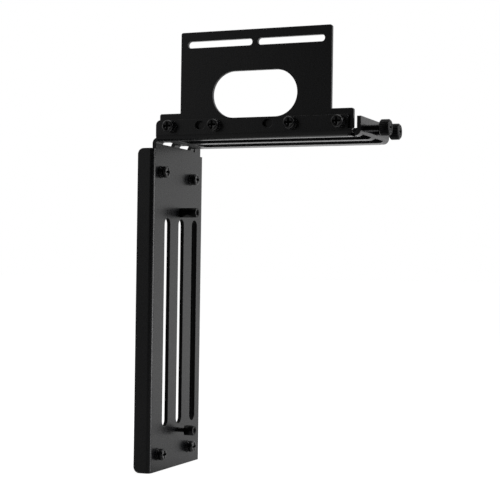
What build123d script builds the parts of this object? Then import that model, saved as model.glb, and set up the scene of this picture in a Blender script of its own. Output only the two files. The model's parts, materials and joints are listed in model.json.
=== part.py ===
from build123d import *
import math
import os

# Upright graphics card mount: a folded sheet bracket, a bolted fixing plate and their screws.
# All sizes are in millimetres. While the pieces are drawn, X runs right from the web's inner
# face, Y runs back from the front of the upstand and Z runs up from the slotted shelf's
# underside. At the end everything moves to the middle of the fixing plate's slot pair.

# Sheet
sheet = 2.0
bend_in = 1.0
bend_out = bend_in + sheet
seat_gap = 0.05

# Web, the long wall with its two side flanges
web_front = 0.0
web_back = 61.6
web_bottom = -172.2
flange_bend_in = 0.3
flange_bend_out = flange_bend_in + sheet
flange_reach = 9.25
flange_top = -3.5
flange_corner = 3.2
web_tab_front = 2.3
web_tab_back = 57.3
web_tab_top = 1.5
web_tab_corner = 0.8

# Long slots in the web
web_slot_width = 6.7
web_slot_length = 110.3
web_slot_middle = -94.35
web_slot_first = 17.25
web_slot_pitch = 16.75
web_slot_count = 3

# Shelf with its connector windows, and the ear at its right end
ear_face = 112.0
ear_top = 9.7
ear_front = 0.2
ear_back = 48.3
shelf_back = 52.0
back_wall_top = 9.4
back_wall_left = 3.0
back_wall_corner = 2.0
card_count = 2
card_pitch = 20.32
window_first = 12.6
window_width = 14.1
window_left = 10.8
window_corner = 1.0
window_end_angle = 50.0
tongue_first = 17.35
tongue_width = 13.6
tongue_right = 4.1
tongue_bottom = -1.0
relief_depth = 4.5
relief_width = 1.7

# Front upstand, to which the fixing plate is bolted
upstand_left = 1.0
upstand_right = 105.3
upstand_foot_right = 107.0
upstand_foot_top = 3.6
upstand_top = 10.65
upstand_corner = 2.6
spare_slot_places = (26.0, 63.15)
spare_slot_length = 5.4
spare_slot_width = 4.3
spare_slot_height = 7.45

# Fixing plate
plate_middle = 54.95
plate_width = 82.0
plate_top = 55.45
plate_tab_width = 105.3
plate_step = 13.95
plate_bottom = sheet + bend_in + seat_gap
plate_corner = 1.0
plate_low_corner = 2.0
cable_hole_length = 46.2
cable_hole_width = 23.7
cable_hole_height = 22.8
fixing_slot_width = 3.5
fixing_slot_margin = 3.65
fixing_slot_bridge = 2.8
fixing_slot_length = (plate_width - fixing_slot_bridge) / 2 - fixing_slot_margin
fixing_slot_pitch = fixing_slot_length + fixing_slot_bridge
fixing_slot_height = 49.05

# M3 screws, each with a spring washer and a flat washer
screw_radius = 1.5
screw_hole = 1.7
tapped_hole = screw_radius + 0.02
screw_head_radius = 3.0
screw_head_side = 2.0
screw_head_height = 2.4
screw_crown_radius = 2.6
screw_tip_bevel = 0.3
washer_radius = 3.25
washer_height = 0.6
washer_bore = 1.65
spring_radius = 3.0
spring_height = 0.9
spring_bore = 1.6
spring_split = 0.5
spring_split_lean = 20.0
recess_length = 4.2
recess_width = 1.1
recess_depth = 1.4
upstand_screw_offsets = (-45.75, -20.7, 20.7, 45.75)
upstand_screw_height = 7.15
upstand_screw_past = 0.5
web_screw_places = ((9.0, -15.5), (45.8, -17.0), (9.5, -163.2), (46.1, -163.3))
web_screw_past = 1.0

# Standoffs for the riser board
standoff_flats = 5.0
standoff_reach = 9.5
standoff_from_slot = 3.45
standoff_span = web_slot_length / 2 + standoff_from_slot
standoff_heights = (web_slot_middle + standoff_span, web_slot_middle - standoff_span)
standoff_stud_lengths = (0.0, 4.2)
standoff_stud_radius = 1.25
standoff_stud_hole = standoff_stud_radius + 0.02
standoff_past = 0.8
standoff_bore = tapped_hole
standoff_bore_depth = 4.0
standoff_bevel = 0.35

# Thumb screws
thumb_radius = 4.05
thumb_length = 5.2
thumb_gaps = (8.2, 7.1)
thumb_shank_radius = 1.75
thumb_hole = thumb_shank_radius + 0.05
thumb_tip_past = 0.2
thumb_shank_length = max(thumb_gaps) + sheet + thumb_tip_past
thumb_height = 4.2
thumb_first = 6.1
thumb_flute_count = 24
thumb_flute_depth = 0.35
thumb_edge = 0.7
thumb_ring_radius = 2.9
thumb_ring_width = 0.5
thumb_ring_depth = 0.35
thumb_recess_length = 3.6
thumb_recess_width = 0.9
thumb_recess_depth = 1.6


def block(low, high):
    # A plain block between two opposite corners.
    size = [top - bottom for bottom, top in zip(low, high)]
    middle = [(top + bottom) / 2 for bottom, top in zip(low, high)]
    return Pos(*middle) * Box(*size)


def folded_strip(plane, outer_points, inner_side, start, end, outer_radius=bend_out):
    # Folded sheet whose outer face follows the points, drawn along the plane's normal.
    outer_line = FilletPolyline(*outer_points, radius=outer_radius)
    section = make_face(offset(outer_line, sheet, side=inner_side).edges())
    middle = plane.offset((start + end) / 2)
    return extrude(middle * section, (end - start) / 2, both=True)


def round_edges(solid, axis, radius, places):
    # Rounds the edges along one axis that lie nearest to the given places.
    edges = solid.edges().filter_by(axis)
    picked = [edges.sort_by_distance(place)[0] for place in places]
    return fillet(picked, radius)


def facing_front(x, z):
    # A work plane on the front of the upstand, with its normal towards the viewer.
    return Plane(origin=(x, 0, z), x_dir=(1, 0, 0), z_dir=(0, -1, 0))


def facing_right(x, y, z):
    # A work plane on a wall that faces right.
    return Plane(origin=(x, y, z), x_dir=(0, 1, 0), z_dir=(1, 0, 0))


def row(first, pitch, count):
    # Evenly spaced places along one line.
    return [first + pitch * index for index in range(count)]


# Folded bracket

def web_channel():
    # The long wall and its two flanges, open to the left.
    points = [
        (-flange_reach, web_front),
        (0, web_front),
        (0, web_back),
        (-flange_reach, web_back),
    ]
    ends = (web_bottom, flange_top)
    channel = folded_strip(Plane.XY, points, Side.LEFT, *ends, flange_bend_out)
    corners = [
        (-flange_reach, side, height)
        for side in (web_front + sheet / 2, web_back - sheet / 2)
        for height in (web_bottom, flange_top)
    ]
    return round_edges(channel, Axis.Y, flange_corner, corners)


def wall_top():
    # The wall above the flanges, the fold into the shelf and the free tab behind it.
    points = [
        (-sheet, flange_top - sheet),
        (-sheet, sheet),
        (window_left, sheet),
    ]
    fold = folded_strip(Plane.XZ, points, Side.RIGHT, -ear_back, -web_tab_front)
    tab_front = ear_back + relief_width
    tab = block((-sheet, tab_front, flange_top - sheet), (0, web_tab_back, web_tab_top))
    tab = round_edges(tab, Axis.X, web_tab_corner, [(0, web_tab_back, web_tab_top)])
    foot = block((-sheet, ear_back, flange_top - sheet), (0, tab_front, -relief_width))
    return fold + tab + foot


def shelf_tray():
    # The shelf between the front upstand and the low back wall.
    points = [
        (0, upstand_top),
        (0, 0),
        (shelf_back, 0),
        (shelf_back, back_wall_top),
    ]
    tray = folded_strip(Plane.YZ, points, Side.LEFT, upstand_left, upstand_foot_right)
    tray -= block(
        (upstand_left, ear_back, -1),
        (back_wall_left, shelf_back + 1, back_wall_top + 1),
    )
    tray -= block(
        (upstand_right, -1, upstand_foot_top),
        (upstand_foot_right + 1, sheet + 1, upstand_top + 1),
    )
    front_corners = [(upstand_left, sheet / 2, upstand_top)]
    tray = round_edges(tray, Axis.Y, upstand_corner, front_corners)
    back_corners = [
        (x, shelf_back - sheet / 2, back_wall_top)
        for x in (back_wall_left, upstand_foot_right)
    ]
    return round_edges(tray, Axis.Y, back_wall_corner, back_corners)


def ear():
    # The right end of the shelf, folded up for the thumb screws.
    points = [
        (upstand_foot_right - relief_width, 0),
        (ear_face, 0),
        (ear_face, ear_top),
    ]
    return folded_strip(Plane.XZ, points, Side.LEFT, -ear_back, -ear_front)


def window_cutter(y):
    # One connector window, which runs on through the fold and ends square to the sheet.
    turn = math.radians(window_end_angle)
    fold_x = ear_face - bend_out
    fold_z = bend_out
    reach = 2 * bend_out
    end = (fold_x + reach * math.sin(turn), fold_z - reach * math.cos(turn))
    outline = Polygon(
        (window_left, -1),
        (window_left, fold_z),
        (fold_x, fold_z),
        end,
        (end[0], -1),
        align=None,
    )
    cutter = extrude(Plane.XZ.offset(-y) * outline, window_width / 2, both=True)
    corners = [(window_left, y + side * window_width / 2, 1) for side in (-1, 1)]
    return round_edges(cutter, Axis.Z, window_corner, corners)


def tongue_cutter(y):
    # The slot for the end of a card's cover strip, cut through the fold.
    low = (-sheet - 1, y - tongue_width / 2, tongue_bottom)
    high = (tongue_right, y + tongue_width / 2, sheet + 1)
    cutter = block(low, high)
    corners = [
        (tongue_right, y + side * tongue_width / 2, sheet) for side in (-1, 1)
    ]
    return round_edges(cutter, Axis.Z, window_corner, corners)


def through_slot(plane, length, width, depth, turned=0):
    # A slot with round ends, cut through a sheet behind the plane.
    flat = Rot(0, 0, turned) * SlotOverall(length, width)
    return extrude(plane * flat, depth, both=True)


def round_hole(plane, radius, depth):
    # A round hole through a sheet behind the plane.
    return extrude(plane * Circle(radius), depth, both=True)


def bracket():
    # The whole folded sheet with its windows, slots and screw holes.
    body = web_channel() + wall_top() + shelf_tray() + ear()
    body -= block(
        (upstand_foot_right, -1, -1),
        (ear_face - bend_out, relief_depth, bend_out),
    )
    for y in row(window_first, card_pitch, card_count):
        body -= window_cutter(y)
    for y in row(tongue_first, card_pitch, card_count):
        body -= tongue_cutter(y)
    for y in row(web_slot_first, web_slot_pitch, web_slot_count):
        plane = facing_right(0, y, web_slot_middle)
        body -= through_slot(plane, web_slot_length, web_slot_width, sheet + 1, 90)
    for x in spare_slot_places:
        plane = facing_front(x, spare_slot_height)
        body -= through_slot(plane, spare_slot_length, spare_slot_width, sheet + 1)
    for x in upstand_screw_offsets:
        plane = facing_front(plate_middle + x, upstand_screw_height)
        body -= round_hole(plane, screw_hole, sheet + 1)
    for y, z in web_screw_places:
        body -= round_hole(facing_right(0, y, z), tapped_hole, sheet + 1)
    for z in standoff_heights:
        plane = facing_right(0, standoff_line(), z)
        body -= round_hole(plane, standoff_stud_hole, sheet + 1)
    for y in row(thumb_first, card_pitch, card_count):
        body -= round_hole(facing_right(ear_face, y, thumb_height), thumb_hole, sheet + 1)
    return body


def standoff_line():
    # The standoffs stand over the middle one of the long slots.
    return web_slot_first + web_slot_pitch


# Fixing plate

def fixing_plate():
    # A flat stepped plate with two fixing slots and a wide hole for cables.
    body_height = plate_top - plate_step
    tab_height = plate_step - plate_bottom
    body = Pos(0, plate_step + body_height / 2) * Rectangle(plate_width, body_height)
    body = fillet(body.vertices().group_by(Axis.Y)[-1], plate_corner)
    tab = Pos(0, plate_bottom + tab_height / 2) * Rectangle(plate_tab_width, tab_height)
    tab = fillet(tab.vertices().group_by(Axis.Y)[-1], plate_corner)
    tab = fillet(tab.vertices().group_by(Axis.Y)[0], plate_low_corner)
    flat = body + tab
    flat -= Pos(0, cable_hole_height) * SlotOverall(cable_hole_length, cable_hole_width)
    for side in (-1, 1):
        place = Pos(side * fixing_slot_pitch / 2, fixing_slot_height)
        flat -= place * SlotOverall(fixing_slot_length, fixing_slot_width)
    for x in upstand_screw_offsets:
        flat -= Pos(x, upstand_screw_height) * Circle(tapped_hole)
    front = Plane(origin=(plate_middle, sheet, 0), x_dir=(1, 0, 0), z_dir=(0, -1, 0))
    return extrude(front * flat, -sheet)


# Screws, washers and standoffs, drawn standing on a face with their heads up

def turned(points):
    # A solid turned about the upright axis from one half of its outline.
    outline = Polyline(*points, close=True)
    return revolve(Plane.XZ * make_face(outline.edges()), Axis.Z)


def cross_recess(top, length, width, depth):
    # A cross-shaped recess for a screwdriver.
    arms = Rectangle(length, width) + Rectangle(width, length)
    return extrude(Pos(0, 0, top - depth) * arms, depth + 1)


def flat_washer():
    # A plain washer.
    ring = Circle(washer_radius) - Circle(washer_bore)
    return extrude(ring, washer_height)


def spring_washer():
    # A split ring of square wire, pressed flat.
    ring = Circle(spring_radius) - Circle(spring_bore)
    solid = extrude(Pos(0, 0, washer_height) * ring, spring_height)
    middle = (spring_radius + spring_bore) / 2
    height = washer_height + spring_height / 2
    split = Box(spring_radius, spring_split, spring_radius)
    return solid - Pos(middle, 0, height) * Rot(spring_split_lean, 0, 0) * split


def pan_screw(grip):
    # A pan-head screw whose shank reaches the given depth below the face.
    seat = washer_height + spring_height
    top = seat + screw_head_height
    points = [
        (0, -grip),
        (screw_radius - screw_tip_bevel, -grip),
        (screw_radius, screw_tip_bevel - grip),
        (screw_radius, seat),
        (screw_head_radius, seat),
        (screw_head_radius, seat + screw_head_side),
        (screw_crown_radius, top),
        (0, top),
    ]
    return turned(points) - cross_recess(top, recess_length, recess_width, recess_depth)


def standoff(stud_length):
    # A six-sided standoff with a tapped hole, on a stud that screws into the web.
    body_length = standoff_reach - stud_length
    prism = RegularPolygon(standoff_flats / 2, 6, major_radius=False)
    body = extrude(Pos(0, 0, stud_length) * prism, body_length)
    corner_radius = standoff_flats / math.sqrt(3)
    envelope = turned([
        (0, stud_length),
        (corner_radius, stud_length),
        (corner_radius, standoff_reach - standoff_bevel),
        (corner_radius - standoff_bevel, standoff_reach),
        (0, standoff_reach),
    ])
    stud_end = -sheet - standoff_past
    stud = turned([
        (0, stud_end),
        (standoff_stud_radius - screw_tip_bevel, stud_end),
        (standoff_stud_radius, stud_end + screw_tip_bevel),
        (standoff_stud_radius, stud_length),
        (0, stud_length),
    ])
    bore_middle = standoff_reach - standoff_bore_depth / 2
    bore = Pos(0, 0, bore_middle) * Cylinder(standoff_bore, standoff_bore_depth)
    return (body & envelope) + stud - bore


def thumb_screw(gap):
    # A fluted hand screw, backed out until its head stands the gap off the ear.
    top = gap + thumb_length
    tip = gap - thumb_shank_length
    screw = turned([
        (0, tip),
        (thumb_shank_radius - screw_tip_bevel, tip),
        (thumb_shank_radius, tip + screw_tip_bevel),
        (thumb_shank_radius, gap),
        (thumb_radius - thumb_edge, gap),
        (thumb_radius, gap + thumb_edge),
        (thumb_radius, top - thumb_edge),
        (thumb_radius - thumb_edge, top),
        (thumb_ring_radius, top),
        (thumb_ring_radius, top - thumb_ring_depth),
        (thumb_ring_radius - thumb_ring_width, top - thumb_ring_depth),
        (thumb_ring_radius - thumb_ring_width, top),
        (0, top),
    ])
    flute_size = thumb_flute_depth * math.sqrt(2)
    flute = Rot(0, 0, 45) * Box(flute_size, flute_size, thumb_length + 1)
    flute = Pos(thumb_radius, 0, gap + thumb_length / 2) * flute
    step = 360 / thumb_flute_count
    screw -= [Rot(0, 0, step * index) * flute for index in range(thumb_flute_count)]
    recess = cross_recess(top, thumb_recess_length, thumb_recess_width, thumb_recess_depth)
    return screw - recess


# Placing and writing

def screw_stacks():
    # Every screw with its two washers, in place, by name.
    stacks = {}
    upstand_grip = 2 * sheet + upstand_screw_past
    for index, x in enumerate(upstand_screw_offsets):
        plane = facing_front(plate_middle + x, upstand_screw_height)
        stacks[f"upstand_screw_{index + 1}"] = plane * pan_screw(upstand_grip)
        stacks[f"upstand_spring_washer_{index + 1}"] = plane * spring_washer()
        stacks[f"upstand_washer_{index + 1}"] = plane * flat_washer()
    web_grip = sheet + web_screw_past
    for index, (y, z) in enumerate(web_screw_places):
        plane = facing_right(0, y, z)
        stacks[f"web_screw_{index + 1}"] = plane * pan_screw(web_grip)
        stacks[f"web_spring_washer_{index + 1}"] = plane * spring_washer()
        stacks[f"web_washer_{index + 1}"] = plane * flat_washer()
    return stacks


def all_pieces():
    # Every separate piece of the mount, in place, by name.
    pieces = {"bracket": bracket(), "fixing_plate": fixing_plate()}
    pieces.update(screw_stacks())
    for index, z in enumerate(standoff_heights):
        plane = facing_right(0, standoff_line(), z)
        pieces[f"standoff_{index + 1}"] = plane * standoff(standoff_stud_lengths[index])
    thumb_lines = row(thumb_first, card_pitch, card_count)
    for index, (y, gap) in enumerate(zip(thumb_lines, thumb_gaps)):
        plane = facing_right(ear_face, y, thumb_height)
        pieces[f"thumb_screw_{index + 1}"] = plane * thumb_screw(gap)
    return pieces


os.makedirs("parts", exist_ok=True)
home = Pos(-plate_middle, -sheet, -fixing_slot_height)
for name, piece in all_pieces().items():
    placed = home * piece
    placed.label = name
    export_step(placed, f"parts/{name}.step")
    box = placed.bounding_box()
    print(name, len(placed.solids()), round(placed.volume, 1), box.min, box.max)
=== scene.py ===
import json
import math

import bmesh
import bpy
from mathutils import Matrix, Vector


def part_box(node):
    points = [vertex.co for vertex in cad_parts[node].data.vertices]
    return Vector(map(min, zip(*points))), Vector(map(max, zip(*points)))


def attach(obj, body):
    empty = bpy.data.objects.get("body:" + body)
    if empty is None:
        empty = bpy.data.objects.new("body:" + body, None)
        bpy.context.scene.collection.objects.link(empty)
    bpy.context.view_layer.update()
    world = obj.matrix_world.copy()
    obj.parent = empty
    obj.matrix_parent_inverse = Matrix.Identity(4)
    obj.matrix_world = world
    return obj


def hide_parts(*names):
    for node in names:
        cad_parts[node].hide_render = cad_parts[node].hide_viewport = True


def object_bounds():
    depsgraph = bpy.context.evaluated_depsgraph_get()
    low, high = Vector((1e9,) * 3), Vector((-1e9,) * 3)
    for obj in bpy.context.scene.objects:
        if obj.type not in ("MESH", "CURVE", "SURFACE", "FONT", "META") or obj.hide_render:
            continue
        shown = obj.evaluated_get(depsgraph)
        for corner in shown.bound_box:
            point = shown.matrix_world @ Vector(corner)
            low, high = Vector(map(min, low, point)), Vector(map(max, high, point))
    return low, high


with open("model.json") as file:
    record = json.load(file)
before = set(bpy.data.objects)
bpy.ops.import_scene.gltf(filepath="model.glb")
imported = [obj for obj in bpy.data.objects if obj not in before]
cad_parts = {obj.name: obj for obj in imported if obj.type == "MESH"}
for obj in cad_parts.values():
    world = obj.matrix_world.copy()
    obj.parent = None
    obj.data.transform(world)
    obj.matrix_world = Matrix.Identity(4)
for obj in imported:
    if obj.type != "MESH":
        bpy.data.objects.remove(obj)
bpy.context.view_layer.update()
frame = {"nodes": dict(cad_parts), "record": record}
nodes = frame["nodes"]
print("frame loaded:", len(nodes), "nodes")


class shadeWire:
    # one socket of a node tree, with ordinary sums on it

    def __init__(self, tree, socket):
        self.tree = tree
        self.socket = socket

    def node(self, kind, settings=None, inputs=None, output=0):
        made = self.tree.nodes.new(kind)
        for name, value in (settings or {}).items():
            setattr(made, name, value)
        for name, value in (inputs or {}).items():
            if isinstance(value, shadeWire):
                self.tree.links.new(value.socket, made.inputs[name])
            else:
                made.inputs[name].default_value = value
        return shadeWire(self.tree, made.outputs[output])

    def maths(self, operation, first, second=0.0, clamp=False):
        settings = {"operation": operation, "use_clamp": clamp}
        return self.node("ShaderNodeMath", settings, {0: first, 1: second})

    def __add__(self, other):
        return self.maths("ADD", self, other)

    def __radd__(self, other):
        return self.maths("ADD", other, self)

    def __sub__(self, other):
        return self.maths("SUBTRACT", self, other)

    def __rsub__(self, other):
        return self.maths("SUBTRACT", other, self)

    def __mul__(self, other):
        return self.maths("MULTIPLY", self, other)


def clampWire(value):  # keeps a number between 0 and 1
    return value.maths("ADD", value, clamp=True)


def riseWire(value, start, slope):  # 0 up to the start, then climbs and stops at 1
    return clampWire((value - start) * slope)


def axisWire(place, axis):
    return place.node("ShaderNodeSeparateXYZ", None, {0: place}, output=axis)


def blendColour(factor, first, second):
    settings = {"data_type": "RGBA", "blend_type": "MIX"}
    return factor.node("ShaderNodeMix", settings, {0: factor, 6: first, 7: second}, output=2)


def noiseWire(place, scale, detail, rough):
    inputs = {"Vector": place, "Scale": scale, "Detail": detail, "Roughness": rough}
    return place.node("ShaderNodeTexNoise", None, inputs)


noiseMiddle = 0.5


def sumNoise(noises, shares, middle=0.0):
    # the noises' distances from the middle, each times its share, added up
    first, *rest = [(noise - middle) * share for noise, share in zip(noises, shares)]
    for part in rest:
        first = first + part
    return first


def startFinish(name):
    finish = bpy.data.materials.new(name)
    finish.use_nodes = True
    tree = finish.node_tree
    tree.nodes.clear()
    output = tree.nodes.new("ShaderNodeOutputMaterial")
    shader = tree.nodes.new("ShaderNodeBsdfPrincipled")
    tree.links.new(shader.outputs[0], output.inputs[0])
    place = shadeWire(tree, tree.nodes.new("ShaderNodeTexCoord").outputs["Object"])
    return finish, shader, place


def connect(wire, shader, name):
    wire.tree.links.new(wire.socket, shader.inputs[name])


def connectBump(height, rounded, look, shader):
    inputs = {
        "Strength": look["bumpStrength"],
        "Distance": look["bumpDepth"],
        "Height": height,
        "Normal": rounded,
    }
    connect(height.node("ShaderNodeBump", None, inputs), shader, "Normal")


edges = {"samples": 6, "slope": 6.0}


def edgeWires(place, radius):
    # a rounded normal, and a mask that is 1 along sharp edges
    rounded = place.node("ShaderNodeBevel", {"samples": edges["samples"]}, {"Radius": radius})
    flat = place.node("ShaderNodeNewGeometry", output=1)
    dot = {"operation": "DOT_PRODUCT"}
    alike = place.node("ShaderNodeVectorMath", dot, {0: rounded, 1: flat}, output=1)
    return rounded, clampWire((1.0 - alike) * edges["slope"])


# powder coat on the sheets: a noise is scale, detail and roughness, a mask is start and slope
coat = {
    "colour": (0.0022, 0.0023, 0.0032, 1.0),
    "dust": (0.0050, 0.0050, 0.0062, 1.0),
    "wornEdge": (0.045, 0.045, 0.047, 1.0),
    "roughness": 0.30,
    "specular": 0.42,
    "grain": (1500.0, 3.0, 0.6),  # grains about 0.7 mm across
    "fine": (4200.0, 2.0, 0.6),
    "peel": (380.0, 2.0, 0.5),
    "cloud": (22.0, 4.0, 0.55),
    "dusty": (0.42, 2.2),
    "speck": (0.60, 6.0),
    "speckShare": 0.30,
    "worn": (0.3, 2.5),
    "wornShare": 0.7,
    "uneven": (0.40, 0.14, 0.12),  # roughness from grain, cloud and fine
    "edgePolish": 0.05,
    "relief": (0.6, 0.9, 0.25),  # height from grain, peel and fine
    "bumpStrength": 0.42,
    "bumpDepth": 0.00005,
    "edgeRadius": 0.00040,
}

# painted shade: a darker, duller coat on the slot walls and the inner side of the back flange
shadedCoat = dict(
    coat,
    colour=(0.0020, 0.0020, 0.0024, 1.0),
    dust=(0.0030, 0.0030, 0.0034, 1.0),
    roughness=0.62,
    specular=0.10,
)

# painted highlight along the web's front fold, lower down where the lamp's highlight misses it:
# a line in the shared frame, in metres
paintedFoldHighlight = {
    "colour": (0.20, 0.20, 0.205, 1.0),
    "middle": -0.00055,
    "halfWidth": 0.00045,
    "fromFlange": (-0.0556, 5000.0),
    "top": -0.09,
    "topSlope": 14.0,
    "grainSlope": 1.6,
    "colourShare": 0.8,
    "metalShare": 0.6,
}


# mask of the painted fold highlight: a thin line on the fold, fading out above the top
def foldHighlightWire(place, grain):
    across, aside, up = [axisWire(place, axis) for axis in ("X", "Y", "Z")]
    off = aside - paintedFoldHighlight["middle"]
    line = clampWire(1.0 - off.maths("ABSOLUTE", off) * (1.0 / paintedFoldHighlight["halfWidth"]))
    onWeb = riseWire(across, *paintedFoldHighlight["fromFlange"])
    lower = clampWire((paintedFoldHighlight["top"] - up) * paintedFoldHighlight["topSlope"])
    return line * onWeb * lower * clampWire(grain * paintedFoldHighlight["grainSlope"])


def powderCoat(name, look):
    finish, shader, place = startFinish(name)
    noises = [noiseWire(place, *look[kind]) for kind in ("grain", "fine", "peel", "cloud")]
    grain, fine, peel, cloud = noises
    rounded, edge = edgeWires(place, look["edgeRadius"])
    body = blendColour(riseWire(cloud, *look["dusty"]), look["colour"], look["dust"])
    speck = riseWire(fine, *look["speck"]) * look["speckShare"]
    body = blendColour(speck, body, look["wornEdge"])
    worn = edge * riseWire(cloud, *look["worn"]) * look["wornShare"]
    body = blendColour(worn, body, look["wornEdge"])
    # painted highlight on the lower front fold, lighter and partly metallic
    foldHighlight = foldHighlightWire(place, grain)
    body = blendColour(foldHighlight * paintedFoldHighlight["colourShare"], body, paintedFoldHighlight["colour"])
    connect(foldHighlight * paintedFoldHighlight["metalShare"], shader, "Metallic")
    connect(body, shader, "Base Color")
    uneven = sumNoise((grain, cloud, fine), look["uneven"], noiseMiddle)
    connect(look["roughness"] + uneven - edge * look["edgePolish"], shader, "Roughness")
    connectBump(sumNoise((grain, peel, fine), look["relief"]), rounded, look, shader)
    shader.inputs["Specular IOR Level"].default_value = look["specular"]
    return finish


# black zinc on the screws and washers, black oxide on the standoffs and thumb screws; their
# bright edges are worn plating with a painted rim highlight
zinc = {
    "colour": (0.006, 0.006, 0.007, 1.0),
    "bright": (0.220, 0.220, 0.228, 1.0),
    "wearAndRimHighlight": 0.90,
    "roughness": 0.26,
    "specular": 0.42,
    "edgeRadius": 0.00020,
}
oxide = {
    "colour": (0.0020, 0.0020, 0.0025, 1.0),
    "bright": (0.045, 0.045, 0.048, 1.0),
    "wearAndRimHighlight": 0.22,
    "roughness": 0.34,
    "specular": 0.14,
    "edgeRadius": 0.00012,
}

# what both have in common, with noises and masks as in the powder coat
plating = {
    "rings": (7000.0, 2.0, 0.5),
    "fine": (5200.0, 3.0, 0.6),
    "blotch": (420.0, 3.0, 0.5),
    "worn": (0.2, 2.0),
    "metalShare": 0.8,
    "metalBase": 0.02,
    "uneven": (0.12, 0.10, 0.08),  # roughness from blotch, rings and fine
    "relief": (0.8, 0.5),  # height from rings and fine
    "bumpStrength": 0.20,
    "bumpDepth": 0.00002,
}


def platedMetal(name, look, centre, axis):
    # plating with the fine rings that turning leaves round the piece's own axis
    finish, shader, place = startFinish(name)
    here = place.node("ShaderNodeVectorMath", {"operation": "SUBTRACT"}, {0: place, 1: centre})
    across = Vector((1.0, 1.0, 1.0)) - Vector([abs(part) for part in axis])
    flat = here.node("ShaderNodeVectorMath", {"operation": "MULTIPLY"}, {0: here, 1: across})
    ring = flat.node("ShaderNodeVectorMath", {"operation": "LENGTH"}, {0: flat}, output=1)
    outward = flat.node("ShaderNodeCombineXYZ", None, {0: ring, 1: 0.0, 2: 0.0})
    rings = noiseWire(outward, *plating["rings"])
    fine, blotch = [noiseWire(place, *plating[kind]) for kind in ("fine", "blotch")]
    rounded, edge = edgeWires(place, look["edgeRadius"])
    # bright, partly metallic edges: worn plating and a painted rim highlight
    wearAndRimHighlight = edge * riseWire(fine, *plating["worn"]) * look["wearAndRimHighlight"]
    connect(blendColour(wearAndRimHighlight, look["colour"], look["bright"]), shader, "Base Color")
    connect(wearAndRimHighlight * plating["metalShare"] + plating["metalBase"], shader, "Metallic")
    uneven = sumNoise((blotch, rings, fine), plating["uneven"], noiseMiddle)
    connect(look["roughness"] + uneven, shader, "Roughness")
    connectBump(sumNoise((rings, fine), plating["relief"]), rounded, plating, shader)
    shader.inputs["Specular IOR Level"].default_value = look["specular"]
    return finish


def dress(piece, finish):
    piece.data.materials.clear()
    piece.data.materials.append(finish)
    for face in piece.data.polygons:
        face.material_index = 0


# bracket faces with painted shade: heights, places and depths behind the web in metres
shadedFaces = {
    "top": -0.06,
    "slotLean": 0.1,
    "slotDepth": (0.0002, 0.0018),
    "slotsFrom": 0.008,
    "slotsTo": 0.056,
    "flangeLean": -0.9,
    "flangeDepth": 0.0019,
}


def isShadedFace(face, depth):
    # the walls of the web's slots, and the inner side of its back flange
    if face.center.z >= shadedFaces["top"]:
        return False
    if face.center.y > shadedFaces["slotsTo"]:
        return face.normal.y < shadedFaces["flangeLean"] and depth > shadedFaces["flangeDepth"]
    shallow, deep = shadedFaces["slotDepth"]
    onSlots = shadedFaces["slotsFrom"] < face.center.y and shallow < depth < deep
    return onSlots and abs(face.normal.x) < shadedFaces["slotLean"]


coatFinish = powderCoat("powderCoat", coat)
sheets = ("bracket", "fixing_plate")
for name in sheets:
    dress(nodes[name], coatFinish)
bracket = nodes["bracket"]
# a second finish paints shade on the slot walls and the back flange's inner side
bracket.data.materials.append(powderCoat("shadedCoat", shadedCoat))
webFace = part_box("web_washer_1")[0][0]  # the washers lie on the web
for face in bracket.data.polygons:
    if isShadedFace(face, webFace - face.center.x):
        face.material_index = 1
print("powder coat on the sheets")

# threads in metres: outer and root radius, rise of one turn, length from the tip
threads = {
    "thumb_screw": {"radius": 0.00175, "root": 0.00130, "pitch": 0.00079, "length": 0.01040},
    "standoff_1": {"radius": 0.00125, "root": 0.00100, "pitch": 0.00045, "length": 0.00280},
    "standoff_2": {"radius": 0.00125, "root": 0.00100, "pitch": 0.00045, "length": 0.00700},
    "web_screw": {"radius": 0.00150, "root": 0.00121, "pitch": 0.00050, "length": 0.00300},
    "upstand_screw": {"radius": 0.00150, "root": 0.00121, "pitch": 0.00050, "length": 0.00450},
}

# the tooth that makes them: places along one turn, and how it starts
tooth = {
    "crest": (0.40, 0.52),
    "foot": 0.92,
    "footShare": 0.98,  # its foot lies just inside the root
    "spareTurns": 0.95,
    "stepsPerTurn": 28,
    "leadShare": 0.25,
    "leadTurns": 1.6,
}

# the plain shank under them: how it is found and narrowed
shank = {
    "mergeWithin": 0.000001,
    "lengthSlack": 0.00001,
    "slackShares": (0.9, 1.01),
    "tipLength": 0.0001,
    "tipShare": 0.85,
    "sharpAngle": 33.0,
}


def spinTooth(thread, tip, toHead):
    # one tooth, spun round the shank in a rising helix and closed at both ends
    steps = tooth["stepsPerTurn"]
    rise = thread["pitch"]
    sideways = Vector((0.0, 0.0, 1.0))
    foot = thread["root"] * tooth["footShare"]
    profile = [(0.0, foot), *((along, thread["radius"]) for along in tooth["crest"])]
    profile.append((tooth["foot"], foot))
    shape = bmesh.new()
    outline = [
        shape.verts.new(tip + toHead * along * rise + sideways * out) for along, out in profile
    ]
    lines = [shape.edges.new((outline[i - 1], outline[i])) for i in range(len(outline))]
    count = int((thread["length"] / rise - tooth["spareTurns"]) * steps)
    bmesh.ops.spin(
        shape,
        geom=outline + lines,
        cent=tip,
        axis=toHead,
        dvec=toHead * rise / steps,
        angle=2.0 * math.pi * count / steps,
        steps=count,
    )
    bmesh.ops.holes_fill(shape, edges=shape.edges, sides=len(outline))
    bmesh.ops.recalc_face_normals(shape, faces=shape.faces)
    for vert in shape.verts:  # the first turn runs out towards the tip
        along = (vert.co - tip).dot(toHead)
        middle = tip + toHead * along
        lead = min(1.0, tooth["leadShare"] + along / (tooth["leadTurns"] * rise))
        spare = (vert.co - middle).length - thread["root"]
        if spare > 0.0:
            out = thread["root"] + spare * lead
            vert.co = middle + (vert.co - middle).normalized() * out
    mesh = bpy.data.meshes.new("tooth")
    shape.to_mesh(mesh)
    shape.free()
    return mesh


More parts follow.
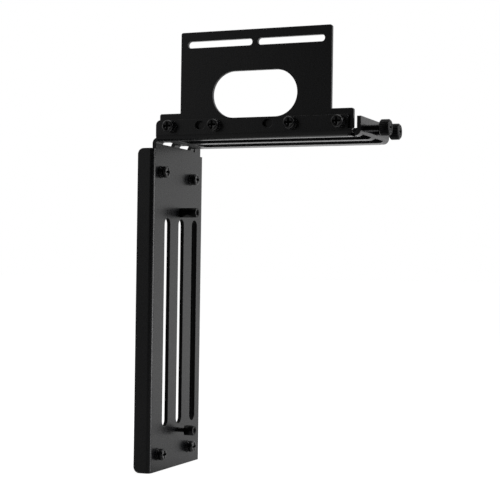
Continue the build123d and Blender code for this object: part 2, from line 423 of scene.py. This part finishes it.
def cutThread(name, thread, toHead):
    # the node's own shape with its plain shank narrowed to the root of the thread
    low, high = [Vector(corner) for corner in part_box(name)]
    reach = abs((high - low).dot(toHead)) / 2
    tip = (low + high) / 2 - toHead * reach
    end = thread["length"] + shank["lengthSlack"]
    below, above = shank["slackShares"]
    shape = bmesh.new()
    shape.from_mesh(nodes[name].data)
    bmesh.ops.remove_doubles(shape, verts=shape.verts, dist=shank["mergeWithin"])
    for vert in shape.verts:
        along = (vert.co - tip).dot(toHead)
        middle = tip + toHead * along
        out = (vert.co - middle).length
        if along < end and thread["root"] * below < out < thread["radius"] * above:
            slim = thread["root"] * (shank["tipShare"] if along < shank["tipLength"] else 1.0)
            vert.co = middle + (vert.co - middle).normalized() * slim
    helix = spinTooth(thread, tip, toHead)
    shape.from_mesh(helix)
    bpy.data.meshes.remove(helix)
    mesh = bpy.data.meshes.new(name + "_threaded")
    shape.to_mesh(mesh)
    shape.free()
    mesh.shade_smooth()
    mesh.set_sharp_from_angle(angle=math.radians(shank["sharpAngle"]))
    piece = bpy.data.objects.new(name + "_threaded", mesh)
    bpy.context.scene.collection.objects.link(piece)
    return piece


# painted shade in the cross of a screw's head, and where the cross lies in metres
recessShadeCoat = dict(
    shadedCoat,
    colour=(0.0012, 0.0012, 0.0014, 1.0),
    dust=(0.0035, 0.0035, 0.0038, 1.0),
    wornEdge=(0.020, 0.020, 0.021, 1.0),
)
recess = {
    "reach": 0.00218,
    "depth": 0.00150,
    "wallLean": 0.3,
    "floorLean": 0.9,
    "floorDepth": 0.0009,
}


# paints shade on the cross's walls and floor
def paintRecessShade(piece, name, outward):
    # the cross's walls stand along the axis, and its floor lies well below the crown
    low, high = [Vector(corner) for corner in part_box(name)]
    top = (low + high) / 2 + outward * abs((high - low).dot(outward)) / 2
    for face in piece.data.polygons:
        depth = (top - face.center).dot(outward)
        aside = (face.center - top + outward * depth).length
        if aside >= recess["reach"] or depth >= recess["depth"]:
            continue
        lean = face.normal.dot(outward)
        isFloor = lean > recess["floorLean"] and depth > recess["floorDepth"]
        if isFloor or abs(lean) < recess["wallLean"]:
            face.material_index = 1


recessShadeFinish = powderCoat("recess", recessShadeCoat)
bodies = frame["record"]["behaviour"]["bodies"]
bodyOf = {name: body for body, names in bodies.items() for name in names}
for name, node in list(nodes.items()):
    if name in sheets:
        continue
    low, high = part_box(name)
    centre = [(a + b) / 2 for a, b in zip(low, high)]
    toHead = (0.0, -1.0, 0.0) if name.startswith("upstand") else (1.0, 0.0, 0.0)
    look = oxide if name.startswith(("thumb", "standoff")) else zinc
    finish = platedMetal(name + "_plating", look, centre, toHead)
    thread = threads.get(name) or threads.get(name[:-2])  # without the number at its end
    if thread:
        piece = cutThread(name, thread, Vector(toHead))
        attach(piece, bodyOf[name])
        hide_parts(name)
        dress(piece, finish)
        if "_screw" in name:
            piece.data.materials.append(recessShadeFinish)
            paintRecessShade(piece, name, Vector(toHead))
    else:
        dress(node, finish)
print("plating and threads on the small pieces")


# floor and room; gloss and glass see the share glowNear of the floor's glow beside the mount,
# more of it further back and none in front
studio = {
    "floorSize": 12.0,
    "floorDrop": 0.0002,
    "floorColour": (0.36, 0.36, 0.36, 1.0),
    "floorRoughness": 0.9,
    "floorGlow": 0.86,
    "glowNear": 0.46,
    "glowPerMetre": 0.38,
    "glowStart": 0.3,
    "glowStartSlope": 20.0,
    "worldSide": 0.72,
    "worldFront": 0.014,
    "leftStart": -0.50,
    "leftSlope": 2.15,
    "fromBehind": (-0.12, 2.6),
}
black = (0.0, 0.0, 0.0, 1.0)
white = (1.0, 1.0, 1.0, 1.0)


def seenRays(wire):
    # 1 for the camera's rays, and 1 for those off gloss or through glass
    camera, glossy, through = [
        wire.node("ShaderNodeLightPath", output=name)
        for name in ("Is Camera Ray", "Is Glossy Ray", "Is Transmission Ray")
    ]
    return camera, clampWire(glossy + through)


def makeFloor():
    low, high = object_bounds()
    height = low[2] - studio["floorDrop"]
    shape = bmesh.new()
    bmesh.ops.create_grid(shape, x_segments=1, y_segments=1, size=studio["floorSize"])
    bmesh.ops.translate(shape, verts=shape.verts, vec=(0.0, 0.0, height))
    mesh = bpy.data.meshes.new("floor")
    shape.to_mesh(mesh)
    shape.free()
    floor = bpy.data.objects.new("floor", mesh)
    bpy.context.scene.collection.objects.link(floor)
    finish, shader, place = startFinish("paleFloor")
    shader.inputs["Base Color"].default_value = studio["floorColour"]
    shader.inputs["Roughness"].default_value = studio["floorRoughness"]
    shader.inputs["Specular IOR Level"].default_value = 0.0
    camera, mirrored = seenRays(place)
    back = axisWire(place, "Y")
    behind = clampWire(back * studio["glowStartSlope"] + studio["glowStart"])
    share = clampWire(back * studio["glowPerMetre"] + studio["glowNear"])
    glow = clampWire(camera + mirrored * behind * share) * studio["floorGlow"]
    connect(blendColour(glow, black, white), shader, "Emission Color")
    shader.inputs["Emission Strength"].default_value = 1.0
    dress(floor, finish)


def makeWorld():
    world = bpy.data.worlds.new("studioRoom")
    bpy.context.scene.world = world
    world.use_nodes = True
    tree = world.node_tree
    tree.nodes.clear()
    output = tree.nodes.new("ShaderNodeOutputWorld")
    room = shadeWire(tree, tree.nodes.new("ShaderNodeTexCoord").outputs["Generated"])
    sideways, back = [axisWire(room, axis) for axis in ("X", "Y")]
    left = clampWire(studio["leftStart"] - sideways * studio["leftSlope"])
    lit = room.maths("MAXIMUM", left, riseWire(back, *studio["fromBehind"]))
    side = lit * studio["worldSide"]
    camera, mirrored = seenRays(room)
    shown = room.maths("MAXIMUM", camera, mirrored * side)
    strength = room.maths("MAXIMUM", studio["worldFront"] + side, shown)
    background = tree.nodes.new("ShaderNodeBackground")
    background.inputs["Color"].default_value = white
    tree.links.new(strength.socket, background.inputs["Strength"])
    tree.links.new(background.outputs[0], output.inputs[0])


# soft boxes: place, the point they face, size and watts
softBoxes = {
    "topBox": ((0.10, 0.10, 0.75), (0.0, 0.03, -0.05), (0.9, 0.9), 3.4),
    "rightBox": ((0.88, 0.36, 0.02), (0.0, 0.03, -0.10), (0.44, 1.0), 6.4),
}


def softBox(name, place, aim, size, watts):
    lamp = bpy.data.lights.new(name, "AREA")
    lamp.shape = "RECTANGLE"
    lamp.size, lamp.size_y = size
    lamp.energy = watts
    holder = bpy.data.objects.new(name, lamp)
    holder.location = place
    holder.rotation_euler = (Vector(aim) - Vector(place)).to_track_quat("-Z", "Y").to_euler()
    bpy.context.scene.collection.objects.link(holder)


# the photograph's view: lengths in millimetres, place in metres and turns in degrees
view = {
    "lens": 95.338,
    "sensorWidth": 36.0,
    "shift": (-0.02256, 0.01230),
    "clipStart": 0.01,
    "place": (0.25479, -0.61558, -0.11472),
    "turns": (90.5645, -0.7770, 22.0768),
}


def makeCamera():
    camera = bpy.data.cameras.new("photoCamera")
    camera.lens = view["lens"]
    camera.sensor_width = view["sensorWidth"]
    camera.shift_x, camera.shift_y = view["shift"]
    camera.clip_start = view["clipStart"]
    holder = bpy.data.objects.new("photoCamera", camera)
    holder.location = view["place"]
    holder.rotation_euler = [math.radians(turn) for turn in view["turns"]]
    bpy.context.scene.collection.objects.link(holder)
    bpy.context.scene.camera = holder


makeFloor()
makeWorld()
for name, settings in softBoxes.items():
    softBox(name, *settings)
makeCamera()
bpy.context.scene.view_settings.view_transform = "Standard"
print("studio ready")
